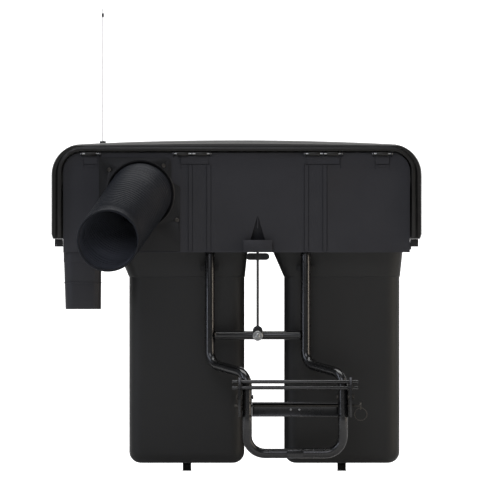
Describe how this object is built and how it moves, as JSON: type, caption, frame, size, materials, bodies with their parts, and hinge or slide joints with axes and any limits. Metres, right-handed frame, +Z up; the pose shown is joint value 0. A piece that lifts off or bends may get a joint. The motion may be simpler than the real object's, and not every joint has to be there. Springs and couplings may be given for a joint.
{
  "type": "riding mower grass collector",
  "caption": "Grass collector for a riding mower: bent tube frame with a hitch, lift-out bins under a hinged hood, a corrugated inlet hose, an exhaust duct and a marker wire.",
  "frame": {"origin": "middle of the front face of the hitch channel's web, which faces the mower", "axes": "+X to the right seen from the mower, +Y away from the mower, +Z up"},
  "size_m": [0.964, 0.877, 1.2063],
  "materials": {
    "black_paint": "gloss powder coat",
    "zinc": "bright zinc plate",
    "hood_plastic": "satin moulded polyethylene",
    "panel_plastic": "fine matt texture",
    "bin_plastic": "satin moulded polyethylene",
    "hose_plastic": "satin flexible plastic",
    "grip_rubber": "matt"
  },
  "bodies": {
    "frame": {"left_frame_tube": "black_paint", "right_frame_tube": "black_paint", "foot_loop": "black_paint", "foot_pad": "black_paint", "cross_tube": "black_paint", "hitch_channel": "black_paint", "left_hitch_plate": "black_paint", "right_hitch_plate": "black_paint", "upper_tie_rod": "black_paint", "lower_tie_rod": "black_paint", "left_leg_bolt": "zinc", "right_leg_bolt": "zinc", "front_ledge": "black_paint", "rear_rail": "black_paint", "centre_beam": "black_paint", "left_side_rail": "black_paint", "right_side_rail": "black_paint", "left_bin_stop": "grip_rubber", "right_bin_stop": "grip_rubber", "front_panel": "panel_plastic", "left_main_hinge_pin": "zinc", "right_main_hinge_pin": "zinc", "left_side_hinge_pin": "zinc", "right_side_hinge_pin": "zinc", "adapter_plate": "panel_plastic", "adapter_screw_1": "zinc", "adapter_screw_2": "zinc", "adapter_screw_3": "zinc", "inlet_collar": "panel_plastic", "inlet_hose": "hose_plastic", "exhaust_duct": "panel_plastic", "duct_sleeve": "panel_plastic", "latch_keeper": "panel_plastic", "rod_guide": "black_paint", "guide_bolt": "zinc"},
    "hood": {"hood_shell": "hood_plastic", "hood_inner_rim": "hood_plastic", "left_main_knuckle": "hood_plastic", "right_main_knuckle": "hood_plastic", "left_side_knuckle": "hood_plastic", "right_side_knuckle": "hood_plastic", "hood_handle": "grip_rubber", "marker_wire": "zinc", "wire_bead": "grip_rubber", "wire_grommet": "grip_rubber"},
    "left_bin": {"left_bin_shell": "bin_plastic", "left_bin_rim": "bin_plastic", "left_bin_grip": "bin_plastic"},
    "right_bin": {"right_bin_shell": "bin_plastic", "right_bin_rim": "bin_plastic", "right_bin_grip": "bin_plastic"},
    "latch": {"latch_rod": "black_paint", "latch_grip": "grip_rubber", "latch_spring": "zinc"},
    "hitch_pin": {"hitch_pin": "zinc"},
    "pin_ring": {"pin_ring": "zinc"}
  },
  "joints": [
    {"name": "hood_hinge", "type": "hinge", "parent": "frame", "child": "hood", "pos_m": [-0.152, 0.07, 0.664], "axis": [1, 0, 0], "range_deg": [0, 70]},
    {"name": "left_bin_lift", "type": "slide", "parent": "frame", "child": "left_bin", "axis": [0, 0, 1], "range_m": [0, 0.15]},
    {"name": "right_bin_lift", "type": "slide", "parent": "frame", "child": "right_bin", "axis": [0, 0, 1], "range_m": [0, 0.15]},
    {"name": "latch_pull", "type": "slide", "parent": "frame", "child": "latch", "axis": [0, 0, -1], "range_m": [0, 0.015], "stiffness_N_per_m": 400, "springref_m": -0.005, "deforming": ["latch_spring"]},
    {"name": "hitch_pin_pull", "type": "slide", "parent": "frame", "child": "hitch_pin", "axis": [1, 0, 0], "range_m": [0, 0.33]},
    {"name": "ring_swing", "type": "hinge", "parent": "hitch_pin", "child": "pin_ring", "pos_m": [0.1704, -0.006, 0.0025], "axis": [1, 0, 0], "range_deg": [-60, 60]}
  ]
}
